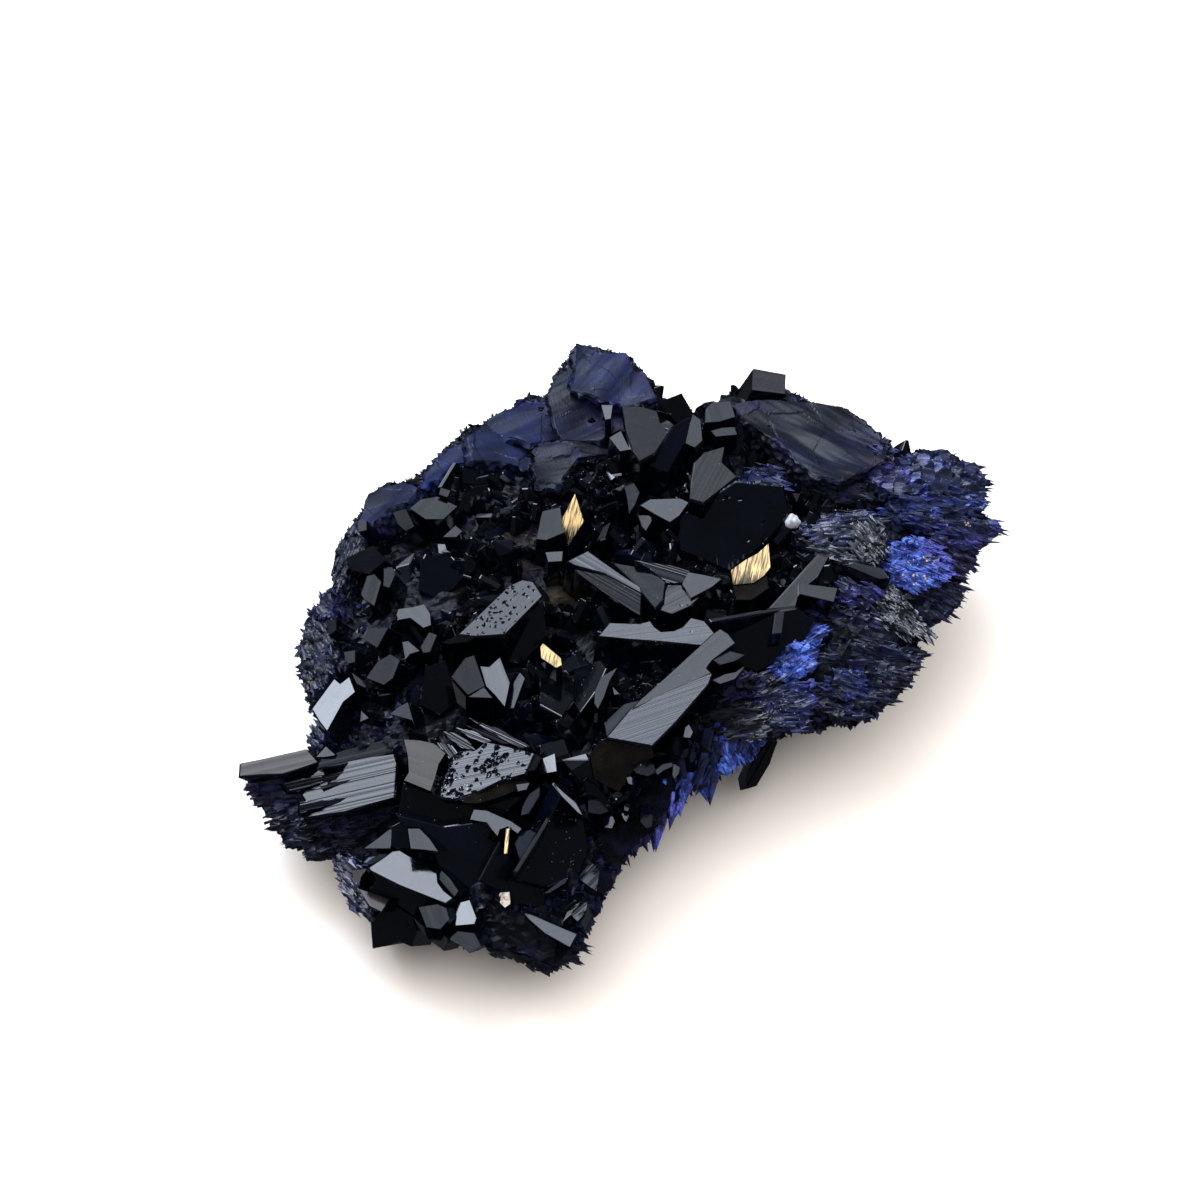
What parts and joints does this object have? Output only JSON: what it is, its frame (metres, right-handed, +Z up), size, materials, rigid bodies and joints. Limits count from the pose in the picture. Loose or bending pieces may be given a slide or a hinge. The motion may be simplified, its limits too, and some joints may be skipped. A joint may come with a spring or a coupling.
{
  "type": "azurite crystal specimen",
  "caption": "Plate of intergrown dark azurite crystals with a jagged blue rim, broken flat underneath so that it rests on a shelf.",
  "frame": {"origin": "centre of the flat broken face that the specimen rests on", "axes": "+Z up, away from the resting face; +Y towards the back of the plate, where its edge peaks; +X towards the raised edge with the fans of blades"},
  "size_m": [0.0497, 0.054, 0.012],
  "materials": {
    "azurite": "glassy crystal faces, near black with deep blue edges"
  },
  "bodies": {
    "root": {"azurite_cluster": "azurite"}
  },
  "joints": []
}
